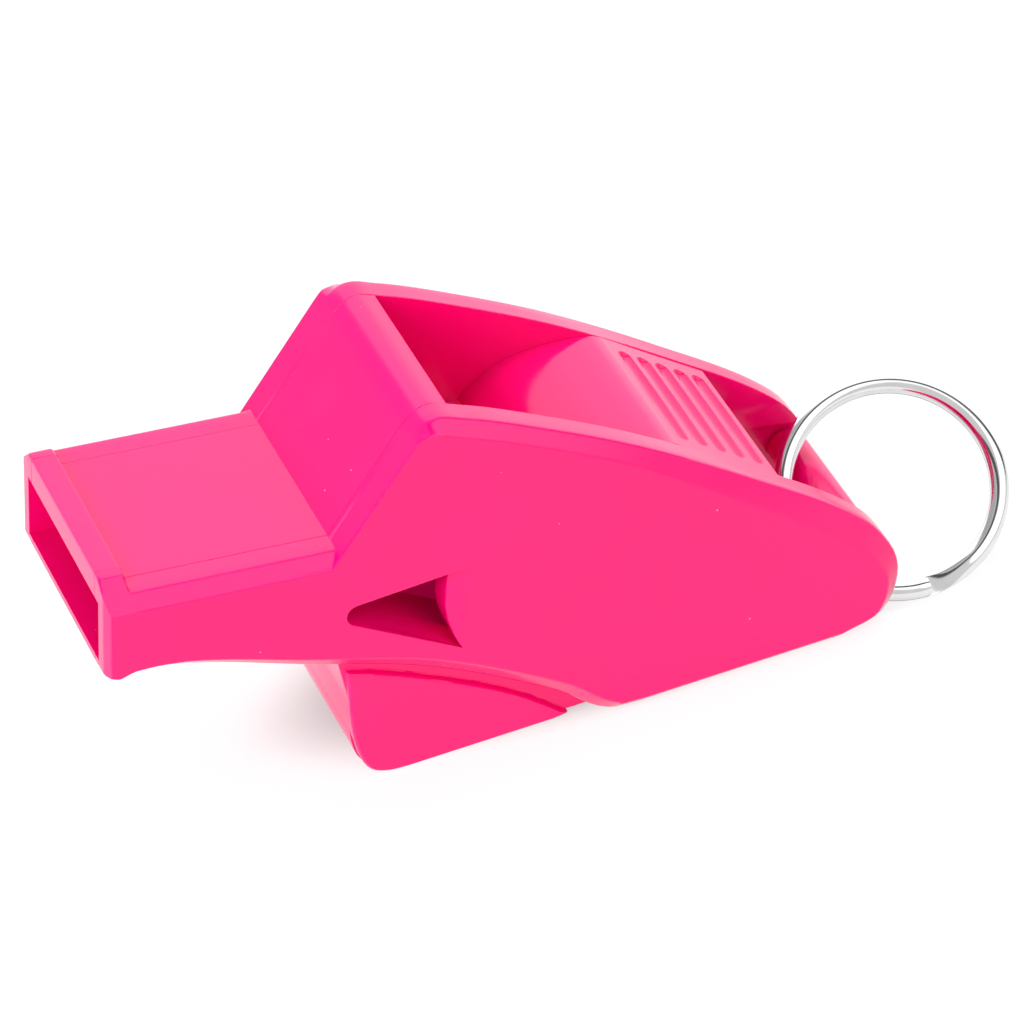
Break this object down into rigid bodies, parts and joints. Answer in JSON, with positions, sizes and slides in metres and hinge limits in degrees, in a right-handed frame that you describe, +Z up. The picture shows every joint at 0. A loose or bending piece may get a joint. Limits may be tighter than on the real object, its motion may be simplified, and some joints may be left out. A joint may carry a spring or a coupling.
{
  "type": "training whistle",
  "caption": "Pealess plastic training whistle: flat mouthpiece, raised crest, ribbed thumb hump, keel, side air windows, and a steel split ring on a tail bar.",
  "frame": {"origin": "middle of the overall box, on the surface the whistle stands on", "axes": "+X from the mouthpiece to the tail, +Y to the right-hand cover, +Z up"},
  "size_m": [0.0717, 0.0196, 0.0309],
  "materials": {
    "pink_plastic": "smooth gloss moulded",
    "ring_steel": "polished plated steel"
  },
  "bodies": {
    "whistle": {"centre_body": "pink_plastic", "left_cover": "pink_plastic", "right_cover": "pink_plastic"},
    "ring": {"split_ring": "ring_steel"}
  },
  "joints": [
    {"name": "ring_swing", "type": "hinge", "parent": "whistle", "child": "ring", "pos_m": [0.02208, 0, 0.00486], "axis": [0, 1, 0], "range_deg": [-90, 38]}
  ]
}
